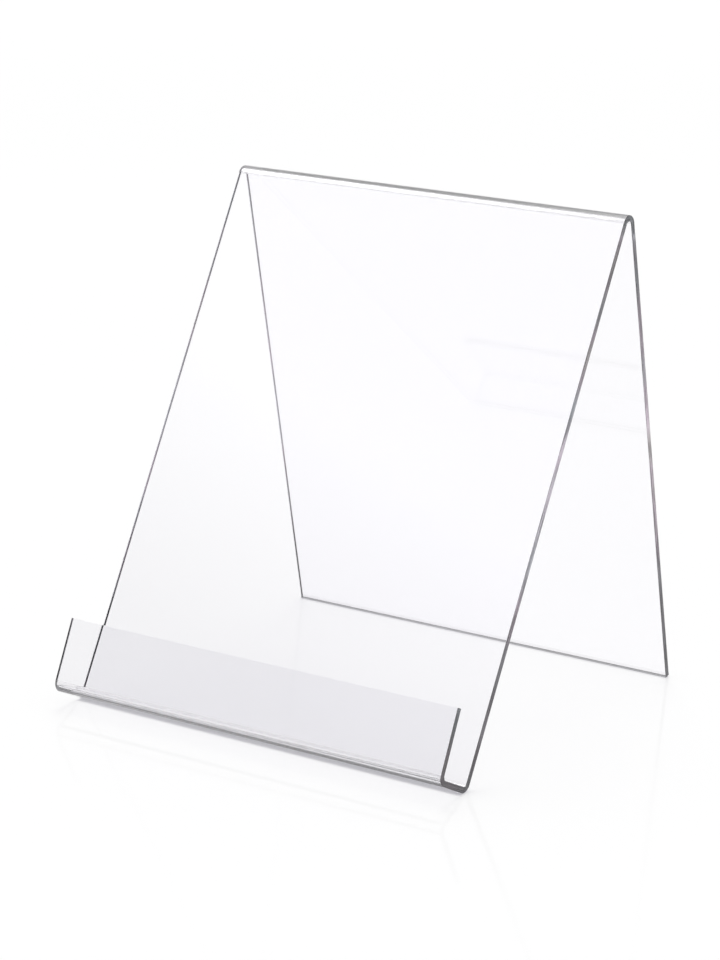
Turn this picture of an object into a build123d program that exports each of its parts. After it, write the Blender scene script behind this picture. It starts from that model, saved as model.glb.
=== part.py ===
from build123d import *

import os
from math import cos, radians, sin, tan

# Book stand bent from one flat sheet of clear acrylic, warmed along three lines.
# Seen from its right side the sheet runs from the foot of the rear leg up to the
# top bend, down the rest panel, forward along the ledge and up the front lip.
# Millimetres and degrees, +Z up, front towards -Y, all bends along X.

# The sheet
sheet_thickness = 3.0
stand_width = 225.0
arris_round = 0.2  # polished rounding of every cut edge

# The rest panel and the rear leg
panel_length = 289.9  # front face, from the ledge to the top bend's outer corner
panel_lean = 29.2  # back from upright
leg_lean = 11.1  # from upright, the foot behind the top bend
top_bend_radius = 2.2  # inside the bend

# The ledge and the front lip
ledge_depth = 21.1  # clear depth for the book along the ledge
ledge_angle = 91.7  # between the rest panel and the ledge
ledge_bend_radius = 2.0  # inside the bend
lip_height = 33.3  # back face, from the ledge up
lip_opening = 3.6  # how far the lip leans away from the panel
lip_bend_radius = 2.0  # inside the bend


def along(angle):
    """A unit direction in the side view, turned back by the angle from upright."""
    return Vector(sin(radians(angle)), cos(radians(angle)))


def leg_length(table_height):
    """Rear face of the leg, so that the inner arris of its square-cut end meets the table."""
    drop = panel_length * cos(radians(panel_lean)) - table_height
    slope = radians(leg_lean)
    return (drop - sheet_thickness * sin(slope)) / cos(slope)


def face_line():
    """The sheet's one continuous face: behind the leg, up the panel's front, the ledge's top, the lip's back."""
    up_panel = along(panel_lean)
    out_of_panel = along(panel_lean - 90)
    out_along_ledge = along(panel_lean - ledge_angle)
    down_leg = along(180 - leg_lean)
    up_lip = along(panel_lean - lip_opening)

    # The ledge bend stands on the table, its outside rounding lowest.
    setback = ledge_bend_radius / tan(radians(ledge_angle / 2))
    bend_centre = up_panel * setback + out_of_panel * ledge_bend_radius
    table_height = bend_centre.Y - ledge_bend_radius - sheet_thickness

    ledge_corner = Vector(0, -table_height)
    top_corner = ledge_corner + up_panel * panel_length
    foot = top_corner + down_leg * leg_length(table_height)
    lip_corner = ledge_corner + out_along_ledge * ledge_depth
    lip_top = lip_corner + up_lip * lip_height

    top_outside_radius = top_bend_radius + sheet_thickness
    return FilletPolyline(
        foot,
        top_corner,
        ledge_corner,
        lip_corner,
        lip_top,
        radius=[top_outside_radius, ledge_bend_radius, lip_bend_radius],
    )


def sheet_profile():
    """The side view: the sheet's thickness laid on the hidden side of its face line."""
    with BuildSketch(Plane.YZ) as profile:
        with BuildLine():
            face_line()
            offset(amount=sheet_thickness, side=Side.LEFT, closed=True)
        make_face()
    return profile.sketch


def bent_sheet():
    """The whole stand, with every cut edge lightly rounded by polishing."""
    stand = extrude(sheet_profile(), amount=stand_width / 2, both=True)
    sides = stand.faces().filter_by(Axis.X)
    cut_strip_area = sheet_thickness * stand_width
    cut_ends = [
        face
        for face in stand.faces().filter_by(GeomType.PLANE)
        if abs(face.area - cut_strip_area) < 0.001 * cut_strip_area
    ]
    cut_edges = ShapeList(sides.edges() + [e for face in cut_ends for e in face.edges()])
    return fillet(ShapeList(set(cut_edges)), arris_round)


def centred(stand):
    """The stand moved so that its box is centred over the origin, still standing on the table."""
    return Pos(0, -stand.bounding_box().center().Y, 0) * stand


os.makedirs("parts", exist_ok=True)
export_step(centred(bent_sheet()), "parts/acrylic_sheet.step")
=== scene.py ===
from collections import namedtuple
from math import cos, pi, radians, sin, tan

import bpy
from mathutils import Matrix, Vector


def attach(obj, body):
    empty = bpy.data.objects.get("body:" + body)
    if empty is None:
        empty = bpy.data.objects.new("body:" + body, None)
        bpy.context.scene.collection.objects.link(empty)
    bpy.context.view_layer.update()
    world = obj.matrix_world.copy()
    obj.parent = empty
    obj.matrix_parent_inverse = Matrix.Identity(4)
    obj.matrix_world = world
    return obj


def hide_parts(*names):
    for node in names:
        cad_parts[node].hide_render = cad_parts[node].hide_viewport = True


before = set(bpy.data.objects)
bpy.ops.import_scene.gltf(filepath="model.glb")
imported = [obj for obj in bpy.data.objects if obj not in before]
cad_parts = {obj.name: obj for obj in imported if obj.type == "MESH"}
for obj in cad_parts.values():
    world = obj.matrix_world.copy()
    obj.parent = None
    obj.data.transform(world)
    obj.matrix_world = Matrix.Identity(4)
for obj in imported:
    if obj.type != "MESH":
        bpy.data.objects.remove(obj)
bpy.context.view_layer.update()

# The book stand as it is seen: one sheet of clear acrylic, line-bent three times,
# with polished cut edges, on a pale table under soft studio light.
# Metres and degrees, +Z up, front towards -Y. The sizes are the part's own.

NODE = "acrylic_sheet"

# The sheet
THICKNESS = 0.0030
WIDTH = 0.2250
ARRIS = 0.0002  # polished rounding of every cut edge
LEAST_ARRIS = ARRIS / 20  # where the rounding of an end closes
IOR = 1.49

# The rest panel and the rear leg
PANEL_LENGTH = 0.2899  # front face, from the ledge to the top bend's outer corner
PANEL_LEAN = 29.2
LEG_LEAN = 11.1
TOP_BEND = 0.0022  # radius inside the bend

# The ledge and the front lip
LEDGE_DEPTH = 0.0211
LEDGE_ANGLE = 91.7  # between the panel and the ledge
LEDGE_BEND = 0.0020
LIP_HEIGHT = 0.0333
LIP_OPENING = 3.6
LIP_BEND = 0.0020

# Traces of the line bending: at its sides the warm sheet swells inside a bend and draws in outside it
BULGE = 0.00025
DRAWN_IN = 0.35  # share of the bulge

# Fineness of the mesh
STEPS_PER_RADIAN = 14
ARRIS_STEPS = 4
SIDE_STEPS = 6

# How much of the ledge and of the leg, next to the table, turns the light aside
LEDGE_REACH = 0.004
FOOT_REACH = 0.002

# Steps of the lip bend, next to the ledge, whose outside carries a thin painted dark line: painted shade
# standing in for the dark line that the bend refracts
PAINTED_LINE_STEPS = 5

# Material slots, in the order of make_sheet's materials
CLEAR, NEAR_EDGE, FAR_PAINTED_EDGE, FOOT_EDGE, TOP_BEND_CLEAR, RESTING_CLEAR, LIP_BEND_CLEAR, PAINTED_LINE = range(8)

# Slots of the faces that cross the sheet from side to side, where they aren't plain
ACROSS_SLOTS = {
    "foot": RESTING_CLEAR,
    "top bend": TOP_BEND_CLEAR,
    "resting bend": RESTING_CLEAR,
    "lip bend": LIP_BEND_CLEAR,
}

# From which to which share of the sheet's depth its left cut edge is painted dark: painted shade, an opaque
# dark grey standing in for the dark line that the clear edge shows
FAR_EDGE_PAINTED_DARK = {
    "foot": (0.0, 0.65),
    "leg": (0.0, 0.65),
    "top bend": (0.0, 1.0),
    "panel": (0.35, 1.0),
    "ledge": (0.0, 1.0),
    "crease": (0.0, 1.0),
    "lip bend": (0.0, 1.0),
    "lip": (0.2, 1.0),
}


# Side view geometry: angles run from +Y towards +Z, points are (y, z)
def heading(angle):
    return Vector((cos(radians(angle)), sin(radians(angle))))


def face_side(angle):
    """The sheet's face normal where it runs along the angle, the other face lying to the left."""
    return Vector((sin(radians(angle)), -cos(radians(angle))))


UP_LEG = 90 + LEG_LEAN
DOWN_PANEL = 270 - PANEL_LEAN
OUT_ALONG_LEDGE = DOWN_PANEL - 180 + LEDGE_ANGLE
UP_LIP = 90 - PANEL_LEAN + LIP_OPENING


def corner_points():
    """The face line's corners from the leg's foot to the lip's top, as if the bends were sharp."""
    up_panel = -heading(DOWN_PANEL)
    setback = LEDGE_BEND / tan(radians(LEDGE_ANGLE) / 2)
    centre_height = setback * up_panel.y + LEDGE_BEND * face_side(DOWN_PANEL).y
    table_height = centre_height - LEDGE_BEND - THICKNESS
    ledge = Vector((0.0, -table_height))
    top = ledge + up_panel * PANEL_LENGTH
    leg_length = (top.y - THICKNESS * sin(radians(LEG_LEAN))) / cos(radians(LEG_LEAN))
    foot = top - heading(UP_LEG) * leg_length
    lip = ledge + heading(OUT_ALONG_LEDGE) * LEDGE_DEPTH
    lip_top = lip + heading(UP_LIP) * LIP_HEIGHT
    return foot, top, ledge, lip, lip_top


# A place on the face line, the face's normal there, how far the section swells, whether the
# face is inside a bend, and the name of the stretch that follows
Station = namedtuple("Station", "place normal swell inside_face stretch")

# A point of the mesh: its place, its normal, how far it was pushed sideways and its share of the depth
Vertex = namedtuple("Vertex", "place normal push share")


def flat(corner, angle, advance, stretch):
    """A station on a flat stretch, the advance past its corner."""
    return Station(corner + heading(angle) * advance, face_side(angle), 0.0, False, stretch)


def bend(corner, angle, next_angle, reach, stretch, next_stretch):
    """Stations round a bend. reach is the face line's radius, negative where the face is on the inside."""
    turn = next_angle - angle
    start = corner - heading(angle) * abs(reach) * tan(radians(abs(turn)) / 2)
    centre = start - face_side(angle) * reach
    steps = round(radians(abs(turn)) * STEPS_PER_RADIAN)
    for i in range(steps + 1):
        normal = face_side(angle + turn * i / steps)
        swell = BULGE * sin(pi * i / steps) ** 2
        name = stretch if i < steps else next_stretch
        yield Station(centre + normal * reach, normal, swell, reach < 0, name)


def stations():
    """Stations along the whole sheet, each end pulled back by the arris rounding."""
    foot, top, ledge, lip, lip_top = corner_points()
    yield flat(foot, UP_LEG, ARRIS, "foot")
    yield flat(foot, UP_LEG, FOOT_REACH, "leg")
    yield from bend(top, UP_LEG, DOWN_PANEL, TOP_BEND + THICKNESS, "top bend", "panel")
    yield from bend(ledge, DOWN_PANEL, OUT_ALONG_LEDGE, -LEDGE_BEND, "resting bend", "resting bend")
    yield flat(ledge, OUT_ALONG_LEDGE, LEDGE_REACH, "ledge")
    for i, station in enumerate(bend(lip, OUT_ALONG_LEDGE, UP_LIP, -LIP_BEND, "lip bend", "lip")):
        # The first steps of the lip bend carry the painted dark line (painted shade)
        yield station._replace(stretch="crease") if i < PAINTED_LINE_STEPS else station
    yield flat(lip_top, UP_LIP, -ARRIS, "lip")


def section(inset):
    """The sheet's cut section as (x, depth) points with normals: a rectangle with rounded arrises."""
    radius = max(ARRIS - inset, LEAST_ARRIS)
    half = WIDTH / 2 - inset - radius
    near, far = inset + radius, THICKNESS - inset - radius
    points = []
    for x, depth, first in ((half, near, -90), (half, far, 0), (-half, far, 90), (-half, near, 180)):
        for i in range(ARRIS_STEPS + 1):
            angle = radians(first + 90 * i / ARRIS_STEPS)
            normal = Vector((cos(angle), sin(angle)))
            points.append((x + radius * normal.x, depth + radius * normal.y, normal))
        if first in (0, 180):
            continue
        side = Vector((1 if x > 0 else -1, 0))
        for i in range(1, SIDE_STEPS):
            share = i / SIDE_STEPS if x > 0 else 1 - i / SIDE_STEPS
            points.append((x + radius * side.x, near + (far - near) * share, side))
    return points


def ring(station, advance=0.0, inset=0.0, tilt=0.0, sign=1):
    """One loop of vertices round the sheet."""
    ahead = Vector((-station.normal.y, station.normal.x)) * sign
    loop = []
    for x, depth, out in section(inset):
        share = depth / THICKNESS
        swelling = (1 - share if station.inside_face else share) - DRAWN_IN
        push = station.swell * swelling * (1 if x > 0 else -1)
        place = station.place - station.normal * depth + ahead * advance
        direction = -station.normal * out.y * cos(tilt) + ahead * sin(tilt)
        normal = (out.x * cos(tilt), direction.x, direction.y)
        loop.append(Vertex((x + push, place.x, place.y), normal, push, share))
    return loop


def rounded_end(station, sign):
    """Loops over the rounded arris of the sheet's end, from the station outwards."""
    for i in range(1, ARRIS_STEPS + 1):
        tilt = pi / 2 * i / ARRIS_STEPS
        yield ring(station, ARRIS * sin(tilt), ARRIS * (1 - cos(tilt)), tilt, sign)


def slot_for(stretch, low, high, across, left):
    """The material slot of a face of the mesh that spans the depths from low to high."""
    # The outside of those steps carries the painted dark line: painted shade
    if across and stretch == "crease":
        return PAINTED_LINE if low > 0.5 else LIP_BEND_CLEAR
    if across:
        return ACROSS_SLOTS.get(stretch, CLEAR)
    if not left:
        return NEAR_EDGE
    # The left cut edge gets the opaque dark grey over part of its depth: painted shade
    dark_from, dark_to = FAR_EDGE_PAINTED_DARK.get(stretch, (1.0, 0.0))
    return FAR_PAINTED_EDGE if low >= dark_from and high <= dark_to else CLEAR


def faces_and_slots(spine, rings):
    """The mesh's faces, loop by loop from the foot to the lip's top, and the material slot of each."""
    count = len(rings[0])
    lip_end = len(rings) - 1 - ARRIS_STEPS
    faces, slots = [], []
    for r, loop in enumerate(rings[:-1]):
        for i in range(count):
            j = (i + 1) % count
            a, b = r * count + i, r * count + j
            faces.append((a, a + count, b + count, b))
            if r < ARRIS_STEPS:
                slots.append(FOOT_EDGE)
            elif r >= lip_end:
                slots.append(CLEAR)
            else:
                low, high = sorted((loop[i].share, loop[j].share))
                across = abs(loop[i].place[0] - loop[j].place[0]) > WIDTH / 2
                left = loop[i].place[0] < 0
                slots.append(slot_for(spine[r - ARRIS_STEPS].stretch, low, high, across, left))
    faces.append(tuple(range(count)))
    faces.append(tuple(reversed(range((len(rings) - 1) * count, len(rings) * count))))
    slots += [FOOT_EDGE, CLEAR]
    return faces, slots


def set_normals(mesh, vertices):
    """Exact normals, except where the sheet swells, which the mesh's own normals follow better."""
    least_push = 1e-7
    normals = []
    for own, vertex in zip(mesh.vertices, vertices):
        if abs(vertex.push) > least_push:
            normals.append(own.normal.copy())
        else:
            normals.append(Vector(vertex.normal).normalized())
    mesh.normals_split_custom_set_from_vertices(normals)


def add_sheet_uv(mesh, rings, shares):
    """A UV of metres along the sheet and share of its depth."""
    along = [0.0]
    for here, there in zip(rings, rings[1:]):
        along.append(along[-1] + (Vector(there[0].place[1:]) - Vector(here[0].place[1:])).length)
    layer = mesh.uv_layers.new(name="sheet")
    for corner in mesh.loops:
        r, i = divmod(corner.vertex_index, len(shares))
        layer.data[corner.index].uv = (along[r], shares[i])


def sheet_mesh():
    """The whole sheet as one closed mesh, centred over the origin."""
    spine = list(stations())
    foot_end = list(rounded_end(spine[0], -1))
    rings = foot_end[::-1] + [ring(station) for station in spine] + list(rounded_end(spine[-1], 1))
    vertices = [vertex for loop in rings for vertex in loop]
    places = [Vector(vertex.place) for vertex in vertices]
    ys = [place.y for place in places]
    shift = Vector((0.0, -(min(ys) + max(ys)) / 2, 0.0))
    faces, slots = faces_and_slots(spine, rings)

    mesh = bpy.data.meshes.new("clear_sheet")
    mesh.from_pydata([place + shift for place in places], [], faces)
    mesh.update()
    for polygon, slot in zip(mesh.polygons, slots):
        polygon.use_smooth = True
        polygon.material_index = slot
    set_normals(mesh, vertices)
    add_sheet_uv(mesh, rings, [vertex.share for vertex in rings[ARRIS_STEPS]])
    return mesh


# Clear faces: their tints, the share of straight light that they pass, and their clarity, which
# is the share of a surface that isn't milky. What rests on the table turns more light aside, so
# that it leaves a narrow shadow there.
FACE_TINT = (0.981, 0.977, 0.995, 1)
BEND_TINT = (0.976, 0.968, 0.988, 1)
# Painted shade: the dark tint of the lip bend's painted dark line
PAINTED_LINE_TINT = (0.30, 0.29, 0.31, 1)
FACE_PASSED = (0.985, 0.984, 0.988, 1)
TOP_PASSED = (0.90, 0.90, 0.91, 1)
RESTING_PASSED = (0.68, 0.675, 0.70, 1)
TOP_ROUGHNESS = 0.30
TOP_CLARITY = 0.8
RESTING_CLARITY = 0.93
LIP_BEND_CLARITY = 0.82
# Painted shade: clarity and IOR of the lip bend's painted dark line
PAINTED_LINE_CLARITY = 0.6
PAINTED_LINE_IOR = 1.1

# Faint waviness and handling haze of the faces
HAZE_SCALE = 90.0
HAZE_SPAN = (0.45, 0.8)  # of the noise
HAZE_ROUGHNESS = 0.02
WAVE_SCALE = 18.0
WAVE_DETAIL = 1.0
WAVE_STRENGTH = 0.02
WAVE_DEPTH = 0.0002

# Cut edges: greys from the table up as (share of the height, grey). These greys are painted light and
# shade, standing in for the light and dark that the polished edges refract; the far and foot greys are
# painted shade.
EDGE_HEIGHT = 0.2460  # of the whole stand
NEAR_PAINTED_GREYS = (
    (0.0, 0.12), (0.2, 0.20), (0.4, 0.54), (0.55, 0.78), (0.72, 0.45),
    (0.9, 0.22), (0.95, 0.30), (0.962, 0.50), (0.976, 0.04), (0.988, 0.20),
)
# Painted shade: the dark greys of the left cut edges
FAR_PAINTED_SHADE = (
    (0.0, 0.12), (0.045, 0.12), (0.065, 0.04), (0.14, 0.06), (0.2, 0.20),
    (0.45, 0.46), (0.6, 0.44), (0.8, 0.28), (1.0, 0.20),
)
# Painted shade: one grey for the foot's cut end
FOOT_PAINTED_SHADE = ((0.0, 0.46), (1.0, 0.46))
NEAR_CLARITY = 0.25
FAR_CLARITY = 0.0
FAR_IOR = 1.1
EDGE_PASSED = (0.60, 0.59, 0.62, 1)

# How the cut edges vary: streaks along the sheet, wandering tints that are painted colour fringes of the
# light that the edges refract, and arrises darkened by painted shade. A span is the part of the noise that
# is used.
STREAK_SCALE = (60.0, 4.5, 1.0)  # per metre along the sheet, and per depth
STREAK_DETAIL = 4.0
STREAK_SPAN = (0.38, 0.62)
NEAR_CONTRAST = 0.5
FAR_CONTRAST = 0.3
SHIFT_SPAN = (0.25, 0.75)
SHIFT = 0.006  # how far a streak shifts the greys up or down
TINT_SCALE = 28.0
TINT_DETAIL = 1.0
TINT_SPAN = (0.3, 0.7)
# Painted colour fringes: the tints that wander along the edges
PAINTED_EDGE_FRINGES = ((0.93, 1.0, 1.10), (1.0, 0.97, 1.08), (1.08, 0.92, 1.08), (1.04, 0.98, 1.0))
PAINTED_FOOT_FRINGES = ((0.99, 1.0, 1.01), (1.01, 1.0, 1.0))
# Painted shade: the edges darker towards both arrises
PAINTED_ARRIS_SHADE = ((0.0, 0.55), (0.16, 0.95), (0.5, 1.0), (0.84, 0.95), (1.0, 0.55))
ROUGHNESS_SPAN = (0.3, 0.7)
EDGE_ROUGHNESS = (0.08, 0.22)
MARK_SCALE = 900.0
MARK_STRETCH = (1.0, 0.2, 0.2)
MARK_STRENGTH = 0.15
MARK_DEPTH = 0.00005


def feed(links, socket, value):
    """Gives a socket a number, or links it to another node's output."""
    if isinstance(value, (int, float)):
        socket.default_value = value
    else:
        links.new(value, socket)


def maths(nodes, links, operation, first, second):
    node = nodes.new("ShaderNodeMath")
    node.operation = operation
    feed(links, node.inputs[0], first)
    feed(links, node.inputs[1], second)
    return node.outputs["Value"]


def between(nodes, links, share, first, second):
    """A value that goes from the first to the second as the share grows."""
    node = nodes.new("ShaderNodeMix")
    feed(links, node.inputs["Factor"], share)
    feed(links, node.inputs["A"], first)
    feed(links, node.inputs["B"], second)
    return node.outputs["Result"]


def times(nodes, links, first, second):
    """The product of two colours."""
    node = nodes.new("ShaderNodeMix")
    node.data_type = "RGBA"
    node.blend_type = "MULTIPLY"
    node.inputs["Factor"].default_value = 1.0
    links.new(first, node.inputs["A"])
    links.new(second, node.inputs["B"])
    return node.outputs["Result"]


def remap(nodes, links, value, span, new_span=(0.0, 1.0)):
    """The value, stretched and shifted so that its span becomes the new one, and held within it."""
    node = nodes.new("ShaderNodeMapRange")
    node.inputs["From Min"].default_value, node.inputs["From Max"].default_value = span
    node.inputs["To Min"].default_value, node.inputs["To Max"].default_value = new_span
    links.new(value, node.inputs["Value"])
    return node.outputs["Result"]


def colour_ramp(nodes, links, value, stops, interpolation="EASE"):
    """A colour ramp through (place, colour) stops."""
    node = nodes.new("ShaderNodeValToRGB")
    node.color_ramp.interpolation = interpolation
    elements = node.color_ramp.elements
    while len(elements) < len(stops):
        elements.new(0.5)
    for element, (place, colour) in zip(elements, stops):
        element.position = place
        element.color = (*colour, 1)
    links.new(value, node.inputs["Fac"])
    return node.outputs["Color"]


def grey_ramp(nodes, links, value, stops, interpolation="EASE"):
    """A colour ramp through (place, grey) stops."""
    colours = [(place, (grey, grey, grey)) for place, grey in stops]
    return colour_ramp(nodes, links, value, colours, interpolation)


def noise(nodes, links, scale, stretch=(1, 1, 1), detail=3.0):
    """A noise texture in the object's own metres, stretched along its axes."""
    place = nodes.new("ShaderNodeTexCoord")
    mapping = nodes.new("ShaderNodeMapping")
    mapping.inputs["Scale"].default_value = stretch
    texture = nodes.new("ShaderNodeTexNoise")
    texture.inputs["Scale"].default_value = scale
    texture.inputs["Detail"].default_value = detail
    links.new(place.outputs["Object"], mapping.inputs["Vector"])
    links.new(mapping.outputs["Vector"], texture.inputs["Vector"])
    return texture.outputs["Fac"]


def bump(nodes, links, height, strength, depth):
    node = nodes.new("ShaderNodeBump")
    node.inputs["Strength"].default_value = strength
    node.inputs["Distance"].default_value = depth
    links.new(height, node.inputs["Height"])
    return node.outputs["Normal"]


def new_material(name):
    material = bpy.data.materials.new(name)
    material.use_nodes = True
    material.node_tree.nodes.clear()
    return material, material.node_tree.nodes, material.node_tree.links


def let_light_through(nodes, links, shader, passed):
    """Lamps and the table's light cross the sheet straight, and each surface passes a share of them."""
    path = nodes.new("ShaderNodeLightPath")
    straight = maths(nodes, links, "MAXIMUM", path.outputs["Is Shadow Ray"], path.outputs["Is Diffuse Ray"])
    clear = nodes.new("ShaderNodeBsdfTransparent")
    clear.inputs["Color"].default_value = passed
    mix = nodes.new("ShaderNodeMixShader")
    links.new(straight, mix.inputs["Fac"])
    links.new(shader, mix.inputs[1])
    links.new(clear.outputs["BSDF"], mix.inputs[2])
    out = nodes.new("ShaderNodeOutputMaterial")
    links.new(mix.outputs["Shader"], out.inputs["Surface"])


def clear_acrylic(name, passed, tint=FACE_TINT, roughness=0.0, clarity=1.0, ior=IOR):
    """The sheet's faces: water-clear, with the faint waviness and handling haze of cast acrylic."""
    material, nodes, links = new_material(name)
    glass = nodes.new("ShaderNodeBsdfPrincipled")
    glass.inputs["Base Color"].default_value = tint
    glass.inputs["Transmission Weight"].default_value = clarity
    glass.inputs["IOR"].default_value = ior
    haze = noise(nodes, links, HAZE_SCALE)
    hazy = remap(nodes, links, haze, HAZE_SPAN, (roughness, roughness + HAZE_ROUGHNESS))
    links.new(hazy, glass.inputs["Roughness"])
    waves = noise(nodes, links, WAVE_SCALE, detail=WAVE_DETAIL)
    links.new(bump(nodes, links, waves, WAVE_STRENGTH, WAVE_DEPTH), glass.inputs["Normal"])
    let_light_through(nodes, links, glass.outputs["BSDF"], passed)
    return material


def edge_colour(nodes, links, sheet_uv, streaks, painted_greys, contrast, painted_fringes):
    """Painted light and shade: greys by height, made uneven by the streaks, darker at the arrises by
    painted shade, and tinted here and there by painted colour fringes.
    """
    place = nodes.new("ShaderNodeTexCoord")
    split = nodes.new("ShaderNodeSeparateXYZ")
    links.new(place.outputs["Object"], split.inputs["Vector"])
    shift = remap(nodes, links, streaks, SHIFT_SPAN, (-SHIFT, SHIFT))
    height = maths(nodes, links, "ADD", split.outputs["Z"], shift)
    share = remap(nodes, links, height, (0.0, EDGE_HEIGHT))
    unevenness = remap(nodes, links, streaks, STREAK_SPAN, (1 - contrast, 1 + contrast))
    colour = times(nodes, links, grey_ramp(nodes, links, share, painted_greys), unevenness)

    depth = nodes.new("ShaderNodeSeparateXYZ")
    links.new(sheet_uv, depth.inputs["Vector"])
    # painted shade: darker towards both arrises
    colour = times(nodes, links, colour, grey_ramp(nodes, links, depth.outputs["Y"], PAINTED_ARRIS_SHADE))

    # painted colour fringes that wander along the edge
    stops = [(i / (len(painted_fringes) - 1), tint) for i, tint in enumerate(painted_fringes)]
    fringe_wander = remap(nodes, links, noise(nodes, links, TINT_SCALE, detail=TINT_DETAIL), TINT_SPAN)
    return times(nodes, links, colour, colour_ramp(nodes, links, fringe_wander, stops))


def cut_edge(name, painted_greys, clarity, ior, contrast, painted_fringes=PAINTED_EDGE_FRINGES):
    """A sawn and polished edge: its greys go with the height as painted light and shade, and it is streaked
    along the sheet.
    """
    material, nodes, links = new_material(name)
    edge = nodes.new("ShaderNodeBsdfPrincipled")
    edge.inputs["Transmission Weight"].default_value = clarity
    edge.inputs["IOR"].default_value = ior

    sheet = nodes.new("ShaderNodeUVMap")
    sheet.uv_map = "sheet"
    stretch = nodes.new("ShaderNodeMapping")
    stretch.inputs["Scale"].default_value = STREAK_SCALE
    links.new(sheet.outputs["UV"], stretch.inputs["Vector"])
    lines = nodes.new("ShaderNodeTexNoise")
    lines.inputs["Scale"].default_value = 1.0
    lines.inputs["Detail"].default_value = STREAK_DETAIL
    links.new(stretch.outputs["Vector"], lines.inputs["Vector"])
    streaks = lines.outputs["Fac"]

    colour = edge_colour(nodes, links, sheet.outputs["UV"], streaks, painted_greys, contrast, painted_fringes)
    links.new(colour, edge.inputs["Base Color"])
    links.new(remap(nodes, links, streaks, ROUGHNESS_SPAN, EDGE_ROUGHNESS), edge.inputs["Roughness"])
    marks = noise(nodes, links, MARK_SCALE, stretch=MARK_STRETCH)
    links.new(bump(nodes, links, marks, MARK_STRENGTH, MARK_DEPTH), edge.inputs["Normal"])
    let_light_through(nodes, links, edge.outputs["BSDF"], EDGE_PASSED)
    return material


def make_sheet():
    """The stand, with its materials in the order of the slots."""
    sheet = bpy.data.objects.new("clear_sheet", sheet_mesh())
    bpy.context.scene.collection.objects.link(sheet)
    for material in (
        clear_acrylic("clear_acrylic", FACE_PASSED),
        # painted light and shade by height on the right cut edges
        cut_edge("near_cut_edge", NEAR_PAINTED_GREYS, NEAR_CLARITY, IOR, NEAR_CONTRAST),
        # painted shade: an opaque dark grey on the left cut edges
        cut_edge("far_painted_dark_edge", FAR_PAINTED_SHADE, FAR_CLARITY, FAR_IOR, FAR_CONTRAST),
        cut_edge("foot_cut_edge", FOOT_PAINTED_SHADE, FAR_CLARITY, FAR_IOR, FAR_CONTRAST, PAINTED_FOOT_FRINGES),
        clear_acrylic("top_bend_acrylic", TOP_PASSED, BEND_TINT, TOP_ROUGHNESS, TOP_CLARITY),
        clear_acrylic("resting_acrylic", RESTING_PASSED, BEND_TINT, clarity=RESTING_CLARITY),
        clear_acrylic("lip_bend_acrylic", FACE_PASSED, BEND_TINT, clarity=LIP_BEND_CLARITY),
        # painted shade: the lip bend's painted dark line
        clear_acrylic("painted_dark_line_acrylic", FACE_PASSED, PAINTED_LINE_TINT, clarity=PAINTED_LINE_CLARITY, ior=PAINTED_LINE_IOR),
    ):
        sheet.data.materials.append(material)
    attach(sheet, "root")
    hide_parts(NODE)


# Table
TABLE_SIZE = 14.0
TABLE_WHITE = (0.96, 0.96, 0.96, 1)
TABLE_IOR = 1.12
TABLE_ROUGHNESS = 0.06


def make_table():
    half = TABLE_SIZE / 2
    corners = [(-half, -half, 0), (half, -half, 0), (half, half, 0), (-half, half, 0)]
    mesh = bpy.data.meshes.new("table")
    mesh.from_pydata(corners, [], [(0, 1, 2, 3)])
    table = bpy.data.objects.new("table", mesh)
    bpy.context.scene.collection.objects.link(table)
    material, nodes, links = new_material("table_white")
    paint = nodes.new("ShaderNodeBsdfPrincipled")
    paint.inputs["Base Color"].default_value = TABLE_WHITE
    paint.inputs["IOR"].default_value = TABLE_IOR
    paint.inputs["Roughness"].default_value = TABLE_ROUGHNESS
    out = nodes.new("ShaderNodeOutputMaterial")
    links.new(paint.outputs["BSDF"], out.inputs["Surface"])
    mesh.materials.append(material)


# Light
WORLD_LIGHT = 0.50
SUN_STRENGTH = 1.89
SUN_SPREAD = 34.0
SUN_FROM = (-0.15, 0.42, 1.0)

# What the acrylic mirrors, from the front: brightness by elevation, as shares of the roof's
ROOF = 1.32
ROOM = ((0.0, 0.75), (15.0, 0.75), (20.0, 0.05), (27.8, 0.05), (32.5, 1.0), (60.0, 0.8))
ROOM_FADE = 0.2  # how far to each side of the middle the room fades into the white behind


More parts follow.
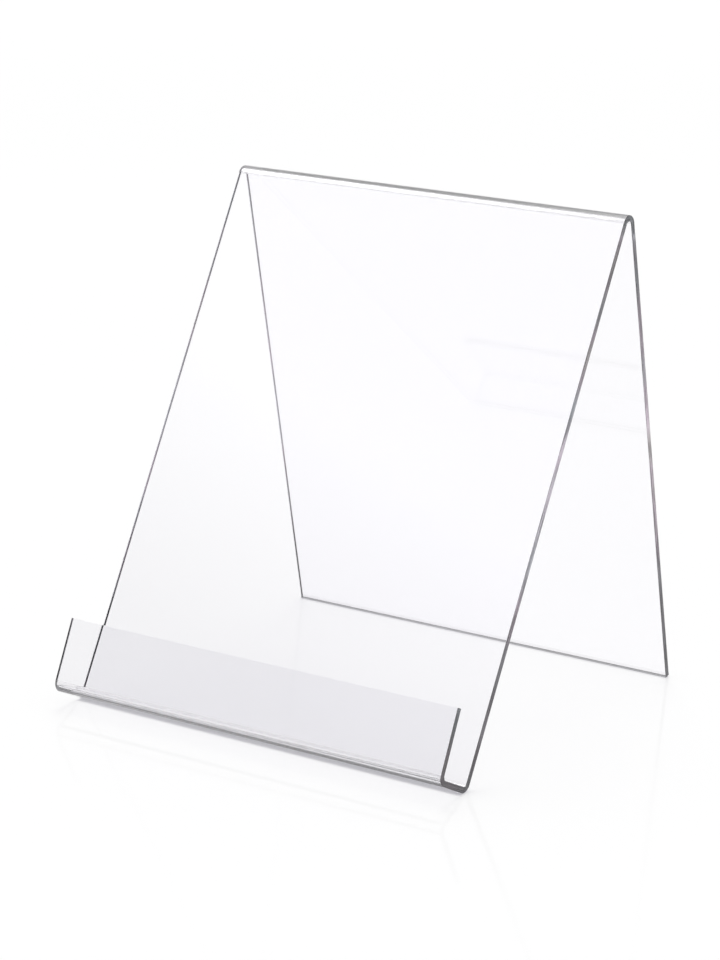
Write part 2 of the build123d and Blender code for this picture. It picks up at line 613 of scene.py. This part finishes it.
def make_world():
    """White behind the stand. What the acrylic mirrors is a studio: a bright roof over a dark band."""
    world = bpy.data.worlds.new("studio")
    bpy.context.scene.world = world
    world.use_nodes = True
    nodes, links = world.node_tree.nodes, world.node_tree.links
    nodes.clear()

    place = nodes.new("ShaderNodeTexCoord")
    split = nodes.new("ShaderNodeSeparateXYZ")
    links.new(place.outputs["Generated"], split.inputs["Vector"])
    stops = [(sin(radians(elevation)), share) for elevation, share in ROOM]
    shares = grey_ramp(nodes, links, split.outputs["Z"], stops, "LINEAR")
    room = maths(nodes, links, "MULTIPLY", shares, ROOF)
    behind = nodes.new("ShaderNodeMapRange")
    behind.interpolation_type = "SMOOTHSTEP"
    behind.inputs["From Min"].default_value = -ROOM_FADE
    behind.inputs["From Max"].default_value = ROOM_FADE
    links.new(split.outputs["Y"], behind.inputs["Value"])
    around = between(nodes, links, behind.outputs["Result"], room, 1.0)

    path = nodes.new("ShaderNodeLightPath")
    glossy, passed = path.outputs["Is Glossy Ray"], path.outputs["Is Transmission Ray"]
    through = maths(nodes, links, "MAXIMUM", glossy, passed)
    was_mirrored = maths(nodes, links, "GREATER_THAN", path.outputs["Glossy Depth"], 0.5)
    mirrored = maths(nodes, links, "MULTIPLY", through, was_mirrored)
    seen = maths(nodes, links, "MAXIMUM", path.outputs["Is Camera Ray"], through)
    plain = between(nodes, links, seen, WORLD_LIGHT, 1.0)

    background = nodes.new("ShaderNodeBackground")
    background.inputs["Color"].default_value = (1, 1, 1, 1)
    links.new(between(nodes, links, mirrored, plain, around), background.inputs["Strength"])
    out = nodes.new("ShaderNodeOutputWorld")
    links.new(background.outputs["Background"], out.inputs["Surface"])


def make_lamp():
    lamp = bpy.data.lights.new("softbox", "SUN")
    lamp.angle = radians(SUN_SPREAD)
    lamp.energy = SUN_STRENGTH
    holder = bpy.data.objects.new("softbox", lamp)
    holder.rotation_euler = (-Vector(SUN_FROM)).to_track_quat("-Z", "Y").to_euler()
    bpy.context.scene.collection.objects.link(holder)


# The photograph's camera
CAMERA_AZIMUTH = 34.27
CAMERA_ELEVATION = 16.20
CAMERA_ROLL = 0.06
CAMERA_DISTANCE = 1.5663
CAMERA_AIM = (-0.0038, -0.0006, 0.1097)
FOCAL_PIXELS = 3201.4
IMAGE_HEIGHT = 960  # in pixels, the picture's longer side
SENSOR = 36.0  # in millimetres, along the same side


def make_camera():
    camera = bpy.data.cameras.new("photo_camera")
    camera.sensor_width = SENSOR
    camera.lens = FOCAL_PIXELS / IMAGE_HEIGHT * SENSOR
    azimuth, elevation, roll = radians(CAMERA_AZIMUTH), radians(CAMERA_ELEVATION), radians(CAMERA_ROLL)
    back = Vector((sin(azimuth) * cos(elevation), -cos(azimuth) * cos(elevation), sin(elevation)))
    level = Vector((0, 0, 1)).cross(back).normalized()
    above = back.cross(level)
    right = level * cos(roll) + above * sin(roll)
    up = above * cos(roll) - level * sin(roll)
    turned = Matrix((right, up, back)).transposed().to_4x4()
    holder = bpy.data.objects.new("photo_camera", camera)
    holder.matrix_world = Matrix.Translation(Vector(CAMERA_AIM) + back * CAMERA_DISTANCE) @ turned
    bpy.context.scene.collection.objects.link(holder)
    bpy.context.scene.camera = holder


make_sheet()
make_table()
make_world()
make_lamp()
make_camera()
bpy.context.scene.view_settings.view_transform = "Standard"
